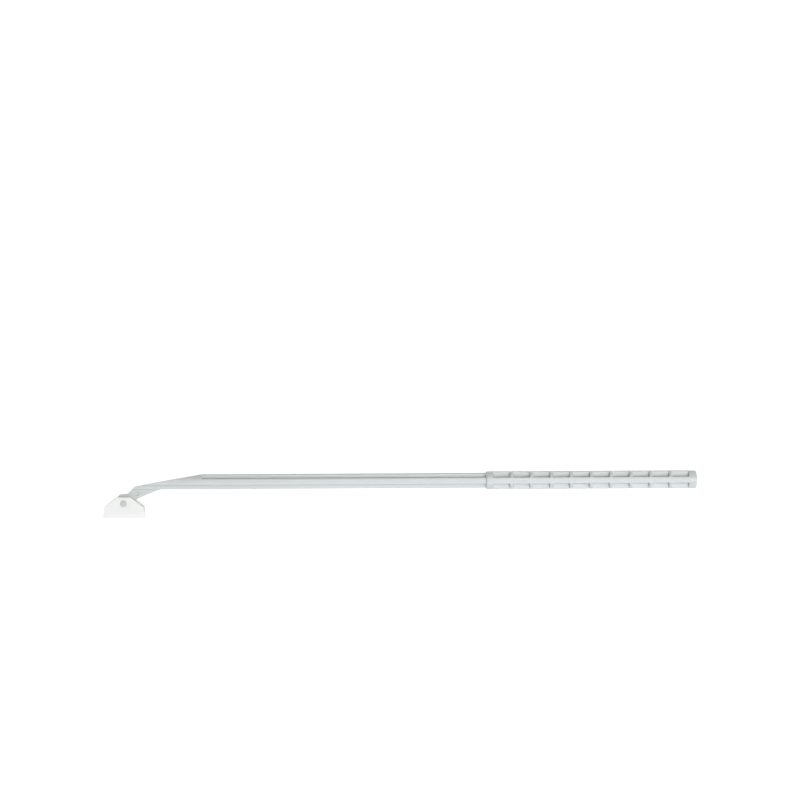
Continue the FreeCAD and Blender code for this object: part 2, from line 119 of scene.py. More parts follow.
def ease(value: np.ndarray) -> np.ndarray:
    """Three squares less two cubes of a value held between 0 and 1."""
    held = np.clip(value, 0, 1)
    return held * held * (3 - 2 * held)


def soft_max(one: np.ndarray, other: np.ndarray, reach: float) -> np.ndarray:
    """The larger of two surfaces, with a fillet where they cross.

    Formula: the larger value, plus a quarter of the reach times the square of how near the
    two are, where near falls from 1 at equal values to 0 at a difference of the reach.

    Args:
        one: Values of the first surface.
        other: Values of the second surface.
        reach: Difference of values at which the fillet ends.

    Returns:
        The blended values.
    """
    near = np.maximum(1 - np.abs(one - other) / reach, 0)
    return np.maximum(one, other) + reach * near * near / 4


def soft_min(one: np.ndarray, other: np.ndarray, reach: float) -> np.ndarray:
    """The smaller of two surfaces, with the crossing rounded: soft_max turned over."""
    return -soft_max(-one, -other, reach)


@dataclass
class Skin:
    """Points and four-cornered faces of a surface, gathered patch by patch.

    A face whose corners fall together becomes a triangle or disappears when the skin is
    welded, so a patch may close on a pole or an edge.
    """

    points: list[np.ndarray] = field(default_factory=list)
    faces: list[np.ndarray] = field(default_factory=list)
    count: int = 0

    def add_points(self, points: np.ndarray) -> np.ndarray:
        """Adds points.

        Args:
            points: Any array whose last axis is x, y and z, in millimetres.

        Returns:
            The points' numbers, in the array's shape without its last axis.
        """
        flat = points.reshape(-1, 3)
        numbers = np.arange(self.count, self.count + len(flat)).reshape(points.shape[:-1])
        self.points.append(flat)
        self.count += len(flat)
        return numbers

    def add_faces(self, *corners: np.ndarray) -> None:
        """Adds faces from four equal arrays, one for each corner."""
        self.faces.append(np.stack([c.ravel() for c in corners], axis=1))

    def tube(self, loops: np.ndarray) -> np.ndarray:
        """Joins closed loops, one row after the other, into a tube.

        Args:
            loops: Rows of closed loops of points.

        Returns:
            The points' numbers, row by row.
        """
        n = self.add_points(loops)
        following = np.roll(n, -1, axis=1)
        self.add_faces(n[:-1], following[:-1], following[1:], n[1:])
        return n

    def fan(self, loop: np.ndarray, first: bool) -> None:
        """Closes a flat loop with triangles round its mean point.

        Args:
            loop: The numbers of a loop's points, all in sight of their mean.
            first: Whether the loop begins its tube, and doesn't end it.
        """
        mean = np.concatenate(self.points)[loop].mean(axis=0)
        middle = np.broadcast_to(self.add_points(mean[None, :]), loop.shape)
        ends = (loop, np.roll(loop, -1))
        if first:
            ends = ends[::-1]
        self.add_faces(*ends, middle, middle)

    def zipper(self, inner: np.ndarray, outer: np.ndarray) -> None:
        """Closes the flat gap between two loops that have different numbers of points.

        Formula: both loops are walked by angle round the axis from the top, and each step
        along one of them makes a triangle with the point that the other has reached.

        Args:
            inner: The numbers of the inner loop's points.
            outer: The numbers of the outer loop's points.
        """
        places = np.concatenate(self.points)
        turns = []
        for loop in (inner, outer):
            turn = np.mod(np.arctan2(places[loop][:, 2], places[loop][:, 1]), FULL_TURN)
            turns.append(np.append(turn[1:], FULL_TURN))
        at_outer = np.searchsorted(turns[1], turns[0], side="left") % len(outer)
        at_inner = np.searchsorted(turns[0], turns[1], side="right") % len(inner)
        self.add_faces(inner, np.roll(inner, -1), outer[at_outer], outer[at_outer])
        self.add_faces(outer, inner[at_inner], np.roll(outer, -1), np.roll(outer, -1))

    def welded(self) -> tuple[np.ndarray, list[list[int]]]:
        """Merges points that fall together and drops faces that have no area.

        Formula: the faces turn over if the volume inside them is negative. A four-cornered
        face splits from its first corner to its third, so where its corners aren't level, it
        starts at the end of whichever diagonal stands out.

        Returns:
            The points in millimetres, and the faces with outward corners in order.
        """
        points = np.concatenate(self.points)
        rounded = np.round(points, WELD_DIGITS) + 0.0  # the sum turns -0 into 0
        _, kept, number = np.unique(rounded, axis=0, return_index=True, return_inverse=True)
        faces = number.reshape(-1)[np.concatenate(self.faces)]
        faces = faces[(faces[:, 0] != faces[:, 2]) & (faces[:, 1] != faces[:, 3])]
        same = faces == np.roll(faces, -1, axis=1)
        folds = same.sum(axis=1)
        whole = faces[folds == 0]
        three = faces[folds == 1][~same[folds == 1]].reshape(-1, 3)
        places = points[kept]
        corners = np.concatenate([whole[:, [0, 1, 2]], whole[:, [0, 2, 3]], three])
        a, b, c = (places[corners[:, k]] for k in range(3))
        outward = np.einsum("ij,ij->", a, np.cross(b, c)) > 0
        order = slice(None, None, 1 if outward else -1)
        whole, three = whole[:, order], three[:, order]
        a, b, c, d = (places[whole[:, k]] for k in range(4))
        ridge = np.einsum("ij,ij->i", np.cross(b - a, c - a), d - a) > 0
        whole[ridge] = np.roll(whole[ridge], -1, axis=1)
        return places, whole.tolist() + three.tolist()


def whole_loops(half: np.ndarray) -> np.ndarray:
    """Completes half loops, which run from the middle plane round the front and back to it.

    Args:
        half: Rows of points with z from 0 upwards, the first and last of them on z = 0.

    Returns:
        Rows of closed loops, whose second half has z turned over and runs back.
    """
    behind = half[:, -2:0:-1] * np.array([1.0, 1.0, -1.0])
    return np.concatenate([half, behind], axis=1)


def turned_skin(radius: np.ndarray, height: np.ndarray, sides: int) -> Skin:
    """A closed surface turned about the z axis.

    Formula: each point of the profile goes once round the axis at its radius and height.

    Args:
        radius: The profile's distances from the axis, 0 at both ends.
        height: The profile's heights.
        sides: How many steps one turn has.

    Returns:
        The skin, with both poles closed.
    """
    turn = spread(0, FULL_TURN, sides)
    far, high = radius[:, None], height[:, None]
    skin = Skin()
    skin.tube(placed(far * np.cos(turn), far * np.sin(turn), high))
    return skin


def linked(name: str, data: bpy.types.ID) -> bpy.types.Object:
    """Makes an object and puts it in the scene.

    Args:
        name: The object's name.
        data: Its mesh, lamp or camera.

    Returns:
        The object.
    """
    made = bpy.data.objects.new(name, data)
    bpy.context.scene.collection.objects.link(made)
    return made


def mesh_object(
    name: str, skin: Skin, origin: Sequence[float], crease: float = CRISP
) -> bpy.types.Object:
    """Makes a smooth-shaded object from a skin.

    Args:
        name: The object's name.
        skin: The surface, in millimetres about the origin.
        origin: Where the surface's own origin stands in the frame, in metres.
        crease: The turn above which an edge is sharp.

    Returns:
        The object, which stands at the frame's origin with its place in its mesh.
    """
    places, faces = skin.welded()
    mesh = bpy.data.meshes.new(name)
    mesh.from_pydata(places * MM + np.array(origin), [], faces)
    mesh.shade_smooth()
    mesh.set_sharp_from_angle(angle=crease)
    return linked(name, mesh)


# The tone stored here sets the painted shade in corners and the painted highlight on edges.
def store_edge_tone(
    mesh: bpy.types.Mesh, middle: float, inner: float, inner_share: float
) -> None:
    """Stores on each point how far it lies in a corner or stands on an edge.

    Formula: along each of its edges, a point's neighbour is above its tangent plane in a
    corner and below it on an edge. The mean sine of that angle, averaged once more with the
    neighbours' means, is the tone: above 0 in corners, below 0 on edges. The plastics paint
    shade into their colour by the tone above 0 and a highlight by the tone below 0.

    Args:
        mesh: The mesh, which gets a float attribute named edge_tone.
        middle: Height of the middle plane, in metres.
        inner: Distance from the middle plane, in metres, within which the tone is less.
        inner_share: How much of the tone stays there.
    """
    count = len(mesh.vertices)
    places, normals = np.empty(count * 3), np.empty(count * 3)
    mesh.vertices.foreach_get("co", places)
    mesh.vertex_normals.foreach_get("vector", normals)
    ends = np.empty(len(mesh.edges) * 2, dtype=np.int32)
    mesh.edges.foreach_get("vertices", ends)
    places, normals = places.reshape(-1, 3), normals.reshape(-1, 3)
    one, other = ends.reshape(-1, 2).T
    along = places[other] - places[one]
    along /= np.maximum(np.linalg.norm(along, axis=1, keepdims=True), TINY)
    rise_one = np.einsum("ij,ij->i", normals[one], along)
    rise_other = -np.einsum("ij,ij->i", normals[other], along)

    def gathered(at_one: np.ndarray, at_other: np.ndarray) -> np.ndarray:
        """Sums on each point of what the edges have at their two ends."""
        return np.bincount(one, at_one, count) + np.bincount(other, at_other, count)

    each = np.ones(len(one))
    degree = gathered(each, each)
    tone = gathered(rise_one, rise_other) / np.maximum(degree, 1)
    tone = (tone + gathered(tone[other], tone[one])) / (degree + 1)
    # Within inner of the middle plane only inner_share of the painted shade and highlight stays.
    tone *= np.where(np.abs(places[:, 2] - middle) < inner, inner_share, 1)
    stored = mesh.attributes.new("edge_tone", "FLOAT", "POINT")
    stored.data.foreach_set("value", tone.astype(np.float32))


# ---------------------------------------------------------------- handle


@dataclass(frozen=True)
class CrossSection:
    """The cross of ribs that shaft and grip share."""

    outer: float
    rib_half: float = 1.35
    root_blend: float = 0.3
    edge_blend: float = 0.18
    edge_shares: tuple[float, float] = (0.84, 1.12)
    root_share: float = 0.86
    steps: int = 4

    def quadrant(self) -> np.ndarray:
        """Angles from one rib's middle up to, and without, the next, close at bends.

        Formula: even steps lead to the rib's rounded edge, over it, on to the root's fillet
        and into the root, and the other rib's angles are their reflection.

        Returns:
            The angles.
        """
        corner = math.asin(self.rib_half / self.outer)
        root = QUARTER / 2
        before, after = (share * corner for share in self.edge_shares)
        bends = [0, before, after, self.root_share * root, root]
        part = np.concatenate([
            spread(first, last, self.steps) for first, last in zip(bends, bends[1:])
        ])
        return np.concatenate([part, [root], QUARTER - part[:0:-1]])

    def half_turn(self) -> np.ndarray:
        """Angles from the top rib's middle round the front to the bottom rib's."""
        quadrant = self.quadrant()
        return np.concatenate([quadrant, QUARTER + quadrant, [2 * QUARTER]])

    def radius(self, angle: np.ndarray) -> np.ndarray:
        """Distance from the axis to the cross's outline.

        Formula: a ray leaves the cross where it has passed both the upright rib's side and
        the level rib's side, which is the larger of two distances, filleted at the root. The
        outer circle cuts the ribs off, with rounded edges.

        Args:
            angle: Angles from the top.

        Returns:
            The distances.
        """
        past_upright = self.rib_half / np.maximum(np.abs(np.sin(angle)), TINY)
        past_level = self.rib_half / np.maximum(np.abs(np.cos(angle)), TINY)
        ribs = soft_max(past_upright, past_level, self.root_blend)
        return soft_min(ribs, np.full_like(ribs, self.outer), self.edge_blend)


@dataclass(frozen=True)
class Grip:
    """The thick ribbed grip: collars, rings and pockets between them."""

    start: float = 152.3
    end: float = 240.85
    section: CrossSection = CrossSection(outer=3.7648)
    front_collar: float = 3.0
    end_collar: float = 3.3
    pockets: int = 10
    pitch: float = 8.35
    crown: float = 1.25
    crown_radius: float = 1.2
    end_round: float = 0.55
    wall_slope: float = 7.6
    collar_blend: float = 0.6
    ring_blend: float = 0.3
    pocket_blend: float = 0.3
    wall_steps: tuple[float, ...] = (
        -0.22, -0.12, -0.07, -0.03, 0.01, 0.05, 0.09, 0.14, 0.19, 0.24, 0.29, 0.34, 0.42,
    )

    def ring_middles(self) -> np.ndarray:
        """Where the rings stand along the handle."""
        first = self.start + self.front_collar + self.pitch - self.crown / 2
        return first + self.pitch * np.arange(self.pockets - 1)

    def stations(self) -> np.ndarray:
        """Places along the grip: close at its ends and walls, far apart elsewhere.

        Returns:
            The places in order, each once.
        """
        bend = self.end_round * (1 - np.cos(spread(0, QUARTER, 8)))
        into_pocket = np.array(self.wall_steps)
        open_at = self.start + self.front_collar + self.pitch * np.arange(self.pockets)
        shut_at = open_at + self.pitch - self.crown
        walls = [rim + into_pocket for rim in open_at] + [rim - into_pocket for rim in shut_at]
        middles = [self.ring_middles(), (open_at + shut_at) / 2]
        ends = [self.start + bend, self.end - bend]
        return np.unique(np.round(np.concatenate(ends + walls + middles), 4))

    def ring_radius(self, x: np.ndarray) -> np.ndarray:
        """Radius of the collars and rings along the grip, which falls away in the pockets.

        Formula: a ring's crown is an arc over its middle and a collar's is level. From the
        crown's edge a steep straight wall goes down, and the smaller of the two, rounded
        where they meet, is one ring. The largest of them all is the grip.

        Args:
            x: Places along the handle.

        Returns:
            The radii.
        """
        outer = self.section.outer
        away = np.abs(x[:, None] - self.ring_middles())
        edge = self.crown / 2
        drop = self.crown_radius - np.sqrt(self.crown_radius**2 - np.minimum(away, edge) ** 2)
        lowest = self.crown_radius - math.sqrt(self.crown_radius**2 - edge**2)
        wall = outer - lowest - (away - edge) * self.wall_slope
        rings = soft_min(outer - drop, wall, self.ring_blend).max(axis=1)
        past = np.maximum(self.start + self.front_collar - x, x - (self.end - self.end_collar))
        level = np.full_like(x, outer)
        collars = soft_min(level, outer + past * self.wall_slope, self.collar_blend)
        return np.maximum(np.maximum(rings, collars), self.section.rib_half)

    def outer_radius(self, x: np.ndarray) -> np.ndarray:
        """Radius of the grip's round envelope: level, with a quarter circle at each end.

        Args:
            x: Places along the handle.

        Returns:
            The radii.
        """
        inward = np.minimum(np.minimum(x - self.start, self.end - x), self.end_round)
        rise = np.sqrt(np.maximum(self.end_round**2 - (self.end_round - inward) ** 2, 0))
        return self.section.outer - self.end_round + rise

    def half_loops(self) -> np.ndarray:
        """Half loops along the grip.

        Formula: at each place and angle, the larger of the cross's radius and the ring's, but
        never more than the envelope's.

        Returns:
            Rows of points from the top round the front to the bottom.
        """
        x = self.stations()[:, None]
        angle = self.section.half_turn()
        ring = self.ring_radius(x[:, 0])[:, None]
        filleted = soft_max(self.section.radius(angle), ring, self.pocket_blend)
        radius = np.minimum(filleted, self.outer_radius(x))
        return placed(x, radius * np.cos(angle), radius * np.sin(angle))


@dataclass(frozen=True)
class Shaft:
    """The slim shaft with its bevelled neck, the web under it and the tongue.

    The near_ fields are how far from a wall, the front rib's start, the bevel's upper end and
    the tongue's side the loops stand that close in on them.
    """

    end: float = 152.3
    section: CrossSection = CrossSection(outer=3.15)
    upper_groove: float = 33.0
    bevel_top: float = 32.6
    bevel_strip: float = 0.03
    neck_corner: tuple[float, float] = (4.65, -1.83)
    web_half: float = 0.95
    web_blend: float = 0.3
    tongue_side: float = 2.6
    tongue_top: float = -5.03
    tongue_top_end: float = 1.3
    tongue_corner: tuple[float, float] = (0.65, 1.02)
    pivot_drop: float = 8.9
    gusset_foot: float = 15.15
    gusset_rise: float = 0.4
    gusset_round: float = 0.5
    tongue_round: float = 0.15
    round_change: tuple[float, float] = (-0.2, 0.4)
    ejector: tuple[float, float] = (5.45, -4.85)
    ejector_radius: float = 0.85
    ejector_depth: float = 0.18
    ejector_bank: float = 0.2
    web_gap: float = 0.03
    face_steps: int = 54
    neck_middle: float = 6.6
    past_front: float = 0.7
    past_gusset: float = 16.6
    near_wall: tuple[float, ...] = (0.03, 0.1, 0.25, 0.5)
    near_front: tuple[float, ...] = (0, 0.04, 0.12, 0.25, 0.45)
    near_apex: tuple[float, ...] = (2, 1.5, 1.1, 0.75, 0.45, 0.25, 0.1, 0)
    near_side: tuple[float, ...] = (-0.2, -0.1, -0.03, 0, 0.002, 0.2)

    def stations(self) -> np.ndarray:
        """Places along neck and shaft, close wherever an edge or a wall crosses the handle.

        Returns:
            The places in order, with the upper grooves' end wall given twice.
        """
        side, apex, front = self.tongue_side, self.bevel_top, self.front_rib_start()
        near_wall = np.array(self.near_wall)
        return np.concatenate([
            -side * np.cos(spread(0, QUARTER, 16)),
            spread(0, side + self.near_side[0], 9),
            side + np.array(self.near_side),
            spread(side + self.round_change[1], self.neck_corner[0], 18),
            spread(self.neck_corner[0], self.neck_middle, 20),
            spread(self.neck_middle, front, 6),
            front + np.array(self.near_front),
            spread(front + self.past_front, self.gusset_foot, 26),
            spread(self.gusset_foot, self.past_gusset, 8),
            spread(self.past_gusset, apex - self.near_apex[0], 40),
            apex - np.array(self.near_apex),
            [self.upper_groove, self.upper_groove],
            self.upper_groove + near_wall,
            np.linspace(self.upper_groove, self.end, 26)[1:-1],
            self.end - near_wall[::-1],
            [self.end],
        ])

    def front_rib_start(self) -> float:
        """Where the bevel has risen to the lower side of the rib on the front.

        Returns:
            The place along the handle, from the straight line between the bevel's two ends.
        """
        across, low = self.neck_corner
        rise = (self.section.outer - low) / (self.bevel_top - across)
        return across + (-self.section.rib_half - low) / rise

    def top(self, x: np.ndarray) -> np.ndarray:
        """Height of the tongue's top, the steep cut and the bevel, in straight lines.

        Args:
            x: Places along the handle.

        Returns:
            The heights.
        """
        across, down = self.tongue_corner
        return np.interp(
            x,
            [
                -self.tongue_side, across - self.tongue_side, self.tongue_top_end,
                self.neck_corner[0], self.bevel_top,
            ],
            [
                self.tongue_top - down, self.tongue_top, self.tongue_top,
                self.neck_corner[1], self.section.outer,
            ],
        )

    def bottom(self, x: np.ndarray) -> np.ndarray:
        """Height of the web's lower edge: the gusset's line, or the round end if lower.

        Args:
            x: Places along the handle.

        Returns:
            The heights.
        """
        line = self.gusset_rise * (x - self.gusset_foot) - self.section.outer
        inside = np.maximum(self.tongue_side**2 - x**2, 0)
        round_end = -self.pivot_drop - np.sqrt(inside)
        return np.where(x <= self.tongue_side, np.minimum(line, round_end), line)

    def bar_angles(self, x: np.ndarray) -> tuple[np.ndarray, np.ndarray]:
        """Angles of the shaft's points, from the top round to the web's face.

        Formula: the cross's own angles are the same everywhere. Above the axis, the point
        that is nearest to where the bevel meets the round moves there, and its neighbours
        come within a narrow strip of it. Below the axis, the points of the front rib's lower
        half share the arc that the bevel leaves of its tip.

        Args:
            x: Places along the handle, as a column.

        Returns:
            The cross's own angles, as a row, and the moved ones, a row for each place.
        """
        outer = self.section.outer
        at_web = 2 * QUARTER - math.asin(self.web_half / outer)
        own = self.section.half_turn()
        own = np.append(own[own < at_web - self.web_gap], at_web)[None, :]
        top = self.top(x)
        cut = np.arccos(np.clip(top / outer, math.cos(at_web), 0))
        corner = QUARTER + math.asin(self.section.rib_half / outer)
        share = (own - QUARTER) / (corner - QUARTER)
        on_tip = (own > QUARTER) & (share < 1) & (x > self.front_rib_start())
        angle = np.where(on_tip, cut + share * (corner - cut), own)
        rows = np.flatnonzero((top[:, 0] > 0) & (x[:, 0] < self.bevel_top))
        crossing = np.arccos(np.clip(top[rows, 0] / outer, 0, 1))
        nearest = np.argmin(np.abs(own - crossing[:, None]), axis=1)
        before, after = angle[rows, nearest - 1], angle[rows, nearest + 1]
        angle[rows, nearest - 1] = np.maximum(before, crossing - self.bevel_strip)
        angle[rows, nearest] = crossing
        angle[rows, nearest + 1] = np.minimum(after, crossing + self.bevel_strip)
        return own, angle

    def bar_half_loops(self, x: np.ndarray, solid: np.ndarray) -> np.ndarray:
        """The shaft's own part of the half loops, from the top round to the web's face.

        Formula: points stand on the cross at their angles, and above the axis whatever is
        higher than the bevel comes straight down onto it. Where the bevel is below the axis,
        the upper points share out its flat. Where it is below the front rib, only the lower
        rib is left, and no point stands wider than its side. A fillet leads to the web.

        Args:
            x: Places along the handle, as a column.
            solid: Whether the upper grooves haven't begun, as a column.

        Returns:
            Rows of points.
        """
        outer, rib_half = self.section.outer, self.section.rib_half
        own, angle = self.bar_angles(x)
        top = self.top(x)
        radius = np.where((angle < QUARTER) & solid, outer, self.section.radius(angle))
        y = np.minimum(radius * np.cos(angle), top)
        z = radius * np.sin(angle)
        sunk = (top < 0) & (own <= QUARTER)
        no_front = x <= self.front_rib_start()
        half_flat = np.sqrt(np.maximum(outer**2 - np.minimum(top, 0) ** 2, self.web_half**2))
        half_flat = np.where(no_front, np.minimum(half_flat, rib_half), half_flat)
        z = np.where(sunk, half_flat * np.sin(own), z)
        z = np.where(no_front, np.minimum(z, half_flat), z)
        y = np.where(sunk, top, y)
        filleted = soft_max(z, np.full_like(z, self.web_half), self.fillet(x))
        z = np.where((angle > QUARTER) & ~sunk, filleted, z)
        return placed(x, y, z)

    def fillet(self, x: np.ndarray) -> np.ndarray:
        """Reach of the fillet between web and round.

        Formula: the full reach, eased down to nothing where the round above the fillet or the
        web below it is less deep than that.

        Args:
            x: Places along the handle.

        Returns:
            The reaches.
        """
        above = self.top(x) + self.section.outer
        below = -self.section.outer - self.bottom(x)
        deep = ease(np.minimum(above, below) / self.web_blend)
        return np.maximum(self.web_blend * deep, TINY)

    def web_half_loops(self, x: np.ndarray) -> np.ndarray:
        """The web's part of the half loops, from its face round its lower edge.

        Formula: straight down the face, a quarter circle round the edge and level to the
        middle plane. Whatever is higher than the shaft's own round underside goes down to it.

        Args:
            x: Places along the handle, as a column.

        Returns:
            Rows of points.
        """
        outer = self.section.outer
        begin = np.minimum(-math.sqrt(outer**2 - self.web_half**2), self.top(x))
        low = np.minimum(self.bottom(x), begin)
        change = self.tongue_side + np.array(self.round_change)
        wanted = np.interp(x, change, [self.tongue_round, self.gusset_round])
        bend = np.minimum(wanted, begin - low)
        face = spread(0, 1, self.face_steps)[None, 1:]
        turn = np.linspace(0, QUARTER, 6)[None, :]
        inward = np.linspace(1, 0, 4)[None, 1:]
        y = np.concatenate([
            begin + face * (low + bend - begin),
            low + bend * (1 - np.sin(turn)),
            np.broadcast_to(low, (len(x), inward.shape[1])),
        ], axis=1)
        z = np.concatenate([
            np.full((len(x), face.shape[1]), self.web_half),
            self.web_half - bend * (1 - np.cos(turn)),
            (self.web_half - bend) * inward,
        ], axis=1)
        underside = -np.sqrt(outer**2 - z**2)
        y = np.where(self.top(x) > begin - TINY, np.minimum(y, underside), y)
        return placed(x, y, z)

    def loops(self) -> np.ndarray:
        """Closed loops from the tongue's flat side to the grip, with the ejector mark.

        Formula: the mark is a shallow dish on the web's front face, whose depth eases from
        nothing at its rim to the full depth over the width of its bank.

        Returns:
            Rows of points.
        """
        x = self.stations()[:, None]
        second = np.append(False, np.diff(x[:, 0]) == 0)[:, None]
        solid = (x <= self.upper_groove) & ~second
        half = np.concatenate([self.bar_half_loops(x, solid), self.web_half_loops(x)], axis=1)
        loops = whole_loops(half)
        away = np.hypot(loops[..., 0] - self.ejector[0], loops[..., 1] - self.ejector[1])
        on_face = np.abs(loops[..., 2] - self.web_half) < TINY
        dish = ease((self.ejector_radius - away) / self.ejector_bank) * self.ejector_depth
        loops[..., 2] -= np.where(on_face, dish, 0)
        return loops


@dataclass(frozen=True)
class Bosses:
    """The round bosses on both faces of the tongue, turned as one pin through it."""

    radius: float = 1.35
    half_span: float = 2.9
    lead_in: float = 0.2
    dimple_radius: float = 0.45
    dimple_depth: float = 0.15
    edge: float = 0.05
    sides: int = 96

    def skin(self) -> Skin:
        """The pin's surface.

        Formula: half a profile runs from the dimple's floor over its rim, out to the sloping
        lead-in and onto the cylinder, and the other half is its reflection.

        Returns:
            The skin.
        """
        top, floor = self.half_span, self.half_span - self.dimple_depth
        radius = np.array([
            0, self.dimple_radius - 2 * self.edge, self.dimple_radius - self.edge,
            self.dimple_radius, self.dimple_radius + self.edge,
            self.radius - self.lead_in - self.edge, self.radius - self.lead_in,
            self.radius - self.edge, self.radius, self.radius,
        ])
        height = np.array([
            floor, floor, floor + self.edge, top - self.edge, top, top, top - self.edge / 2,
            top - self.lead_in, top - self.lead_in - self.edge, 0,
        ])
        return turned_skin(
            np.append(radius, radius[-2::-1]), np.append(height, -height[-2::-1]), self.sides
        )


@dataclass(frozen=True)
class HandleMoulding:
    """The whole handle: shaft, neck and tongue, grip, and the bosses for the blade."""

    shaft: Shaft = Shaft()
    grip: Grip = Grip()
    bosses: Bosses = Bosses()
    axis_drop: float = 3.775
    # Within web_corner of the middle plane only web_tone of the painted shade and highlight
    # stays.
    web_corner: float = 1.25
    web_tone: float = 0.7

    def bar_skin(self) -> Skin:
        """The handle's outside, from the tongue's flat side to the grip's end.

        Returns:
            The closed skin.
        """
        skin = Skin()
        shaft = skin.tube(self.shaft.loops())
        grip = skin.tube(whole_loops(self.grip.half_loops()))
        skin.fan(shaft[0], first=True)
        skin.zipper(shaft[-1], grip[0])
        skin.fan(grip[-1], first=False)
        return skin

    def build(self, place: "Place", finish: "HandlePlastic") -> list[bpy.types.Object]:
        """Makes the handle's pieces, dressed and riding on the handle's body.

        Args:
            place: Where the axes stand in the frame.
            finish: The handle's finish.

        Returns:
            The pieces.
        """
        bar = mesh_object("handle_moulding", self.bar_skin(), place.handle, ROUNDED)
        pin = mesh_object("swivel_bosses", self.bosses.skin(), place.pivot)
        plastic = finish.material(place)
        # The edge tone sets the plastic's painted shade in corners and painted highlight on
        # edges.
        store_edge_tone(bar.data, place.middle, self.web_corner * MM, self.web_tone)
        for piece in (bar, pin):
            piece.data.materials.append(plastic)
            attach(piece, "handle")
        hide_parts("handle")
        return [bar, pin]


# ---------------------------------------------------------------- blade


@dataclass(frozen=True)
class Blade:
    """The soft forked blade that turns on the bosses."""

    half_thickness: float = 3.0
    hub_top: float = 2.7
    hub_top_half: float = 2.9
    shoulder_half: float = 8.175
    shoulder: float = -1.3
    skirt_half: float = 8.7
    lip_root: float = -4.6
    lip_half: float = 9.15
    lip_edge: float = -6.37
    lip_root_half: float = 0.45
    lip_edge_half: float = 0.275
    slot_half: float = 1.05
    slot_floor: float = -2.8
    hole_radius: float = 1.4
    hub_blend: float = 0.13
    shoulder_blend: float = 0.8
    outer_round: float = 0.25
    inner_round: float = 0.12
    floor_round: float = 0.2
    lip_round: float = 0.1
    rim_flare: float = 0.1
    hub_bend: float = 0.4
    sides: int = 96

    def top(self, x: np.ndarray) -> np.ndarray:
        """Height of the outline, even about the middle.

        Formula: the smallest of three straight lines, the hub's level top, its slope and the
        skirt's side, with the corners between them rounded, and never less than the lip's.

        Args:
            x: Places along the blade.

        Returns:
            The heights.
        """
        away = np.abs(x)
        slope = (self.shoulder - self.hub_top) / (self.shoulder_half - self.hub_top_half)
        side = (self.lip_root - self.shoulder) / (self.skirt_half - self.shoulder_half)
        sloping = self.hub_top + slope * (away - self.hub_top_half)
        steep = self.shoulder + side * (away - self.shoulder_half)
        hub = soft_min(np.full_like(away, self.hub_top), sloping, self.hub_blend)
        return np.maximum(soft_min(hub, steep, self.shoulder_blend), self.lip_root)

    def half_thick(self, y: np.ndarray) -> np.ndarray:
        """Half the blade's thickness at a height: lip, wedge and hub in straight lines.

        Args:
            y: Heights.

        Returns:
            The half thicknesses.
        """
        return np.interp(
            y,
            [self.lip_edge, self.lip_root, self.shoulder],
            [self.lip_edge_half, self.lip_root_half, self.half_thickness],
        )

    def stations(self) -> np.ndarray:
        """Places along the blade, close at the outline's bends.

        Returns:
            The places in order, even about the middle.
        """
        before, after = self.hub_top_half - self.hub_bend, self.hub_top_half + self.hub_bend
        bend, shoulder = self.shoulder_half - self.shoulder_blend, self.shoulder_half
        right = np.concatenate([
            spread(0, before, 8),
            spread(before, after, 10),
            spread(after, bend, 14),
            spread(bend, shoulder, 16),
            spread(shoulder, self.skirt_half, 20),
            np.linspace(self.skirt_half, self.lip_half, 4),
        ])
        return np.concatenate([-right[:0:-1], right])

    def half_loops(self) -> np.ndarray:
        """Half sections along the blade.

        Formula: each runs from the slot's floor up the inside of the fork's wall, over its
        rounded top, down the outside, in along the wedge and down the lip to its edge, and
        whatever is higher than the outline is brought down to it.

        Returns:
            Rows of points from the slot's floor round the front to the lip's edge.
        """
        x = self.stations()[:, None]
        top = self.top(x)
        floor = np.minimum(self.slot_floor, top)
        depth = top - floor
        outside = self.half_thick(top)
        inner = np.minimum(self.inner_round, depth / 2)
        root = np.minimum(self.floor_round, depth / 2)
        outer = self.outer_round * ease((top - self.shoulder) / (2 * self.outer_round))
        turn = np.linspace(0, QUARTER, 4)[None, :]
        slot = np.minimum(self.slot_half, outside)
        step = np.linspace(0, 1, 7)[None, 1:-1]
        wedge_top = np.minimum(self.shoulder, top)
        face_top = np.maximum(top - outer, wedge_top)
        wedge = wedge_top + (self.lip_root - wedge_top) * np.linspace(0, 1, 10)[None, :]
        lip = self.lip_root + (self.lip_edge + self.lip_round - self.lip_root) * step
        inward = np.linspace(1, 0, 4)[None, 1:]
        parts = [
            (floor, (slot - root) * np.array([[0.0, 0.5]])),
            (floor + root * (1 - np.cos(turn)), slot - root * (1 - np.sin(turn))),
            (floor + root + (depth - root - inner) * step, slot),
            (top - inner * (1 - np.sin(turn)), slot + inner * (1 - np.cos(turn))),
            (top, slot + inner + (outside - outer - slot - inner) * step),
            (top - outer * (1 - np.cos(turn)), outside - outer * (1 - np.sin(turn))),
            (face_top + (wedge_top - face_top) * step, outside),
            (wedge, self.half_thick(wedge)),
            (lip, self.half_thick(lip)),
            (
                self.lip_edge + self.lip_round * (1 - np.sin(turn)),
                self.lip_edge_half - self.lip_round * (1 - np.cos(turn)),
            ),
            (self.lip_edge, (self.lip_edge_half - self.lip_round) * inward),
        ]
        return np.concatenate([placed(x, y, z) for y, z in parts], axis=1)

    def hole_skin(self) -> Skin:
        """The shape that the pivot hole leaves: a cylinder that flares at each wall's faces.

        Formula: nearness is 1 at a wall's face, 0 from a flare's depth inside it on, and up to
        one and a half outside it. The radius is the hole's own and the flare times the square
        of the nearness.

        Returns:
            The skin, which stands clear of both outer faces.
        """
        flare, inner, outer = self.rim_flare, self.slot_half, self.half_thickness
        height = np.concatenate([
            [0],
            np.linspace(inner - flare / 2, inner + flare, 6),
            np.linspace(outer - flare, outer + flare / 2, 6),
            [outer + 4 * flare],
        ])
        to_face = np.minimum(height - inner, outer - height)
        radius = self.hole_radius + flare * np.clip(1 - to_face / flare, 0, 1.5) ** 2
        radius, height = np.append(radius, 0), np.append(height, height[-1])
        return turned_skin(
            np.append(radius[::-1], radius[1:]), np.append(-height[::-1], height[1:]), self.sides
        )

